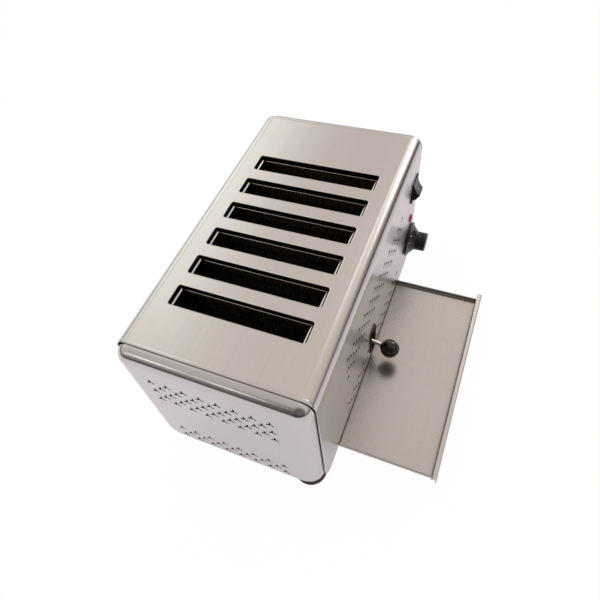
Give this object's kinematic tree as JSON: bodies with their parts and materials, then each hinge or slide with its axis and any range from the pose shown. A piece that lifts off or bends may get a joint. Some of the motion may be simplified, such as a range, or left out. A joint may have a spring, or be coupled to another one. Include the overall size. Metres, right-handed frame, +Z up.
{
  "type": "commercial toaster",
  "caption": "Long stainless counter toaster with a row of bread slots, a lever-worked bread lift, a pull-out crumb tray, a timer knob, a rocker switch and a lamp.",
  "frame": {"origin": "on the standing surface, under the middle of the casing", "axes": "+X along the row of slots towards the controls, -Y out of the control face, +Z up"},
  "size_m": [0.398, 0.331, 0.225],
  "materials": {
    "steel_wrap": "satin stainless sheet",
    "steel_cap": "satin stainless pressing",
    "steel_tray": "satin stainless sheet",
    "steel_lip": "bright stainless fold",
    "steel_base": "plain steel sheet",
    "steel_chamber": "heat-toned steel sheet",
    "wire": "plated wire",
    "rod": "plated rod",
    "screw": "plated screws",
    "rubber": "matt black",
    "black_gloss": "gloss black",
    "black_satin": "satin black",
    "lamp_red": "clear red lens",
    "mica": "mica board",
    "ribbon": "resistance ribbon",
    "ceramic": "glazed ceramic",
    "brass": "plain brass"
  },
  "bodies": {
    "casing": {"outer_wrap": "steel_wrap", "left_end_cap": "steel_cap", "right_end_cap": "steel_cap", "base_plate": "steel_base", "rubber_feet": "rubber", "foot_screws": "screw", "casing_screws": "screw", "rear_screws": "screw", "tray_rails": "steel_base", "front_plate": "steel_chamber", "rear_plate": "steel_chamber", "left_end_plate": "steel_chamber", "right_end_plate": "steel_chamber", "heater_ribbons": "ribbon", "guide_rods": "rod", "timer_body": "black_satin", "timer_nut": "screw", "switch_housing": "black_satin", "lamp_body": "black_satin", "lamp_lens": "lamp_red", "cord_gland": "black_satin", "terminal_block": "ceramic", "bus_insulators": "ceramic", "bus_bars": "brass", "heater_board_1": "mica", "bread_guard_1": "wire", "heater_board_2": "mica", "bread_guard_2": "wire", "heater_board_3": "mica", "bread_guard_3": "wire", "heater_board_4": "mica", "bread_guard_4": "wire", "heater_board_5": "mica", "bread_guard_5": "wire", "heater_board_6": "mica", "bread_guard_6": "wire", "heater_board_7": "mica", "bread_guard_7": "wire"},
    "tray": {"tray_pan": "steel_tray", "tray_lip": "steel_lip"},
    "lift": {"bread_rack_1": "wire", "bread_rack_2": "wire", "bread_rack_3": "wire", "bread_rack_4": "wire", "bread_rack_5": "wire", "bread_rack_6": "wire", "lift_bar": "steel_chamber", "rear_lift_bar": "steel_chamber", "lever_plate": "steel_chamber", "lever_rod": "rod", "lever_ball": "black_gloss"},
    "timer": {"timer_shaft": "rod", "timer_knob": "black_satin"},
    "rocker": {"switch_rocker": "black_gloss"}
  },
  "joints": [
    {"name": "tray_slide", "type": "slide", "parent": "casing", "child": "tray", "axis": [0, -1, 0], "range_m": [-0.1095, 0.06]},
    {"name": "lift_slide", "type": "slide", "parent": "casing", "child": "lift", "axis": [0, 0, 1], "range_m": [-0.013, 0.022]},
    {"name": "timer_turn", "type": "hinge", "parent": "casing", "child": "timer", "pos_m": [0.162, -0.105, 0.072], "axis": [0, 1, 0], "range_deg": [0, 300]},
    {"name": "rocker_tip", "type": "hinge", "parent": "casing", "child": "rocker", "pos_m": [0.162, -0.104, 0.165], "axis": [1, 0, 0], "range_deg": [0, 28]}
  ]
}
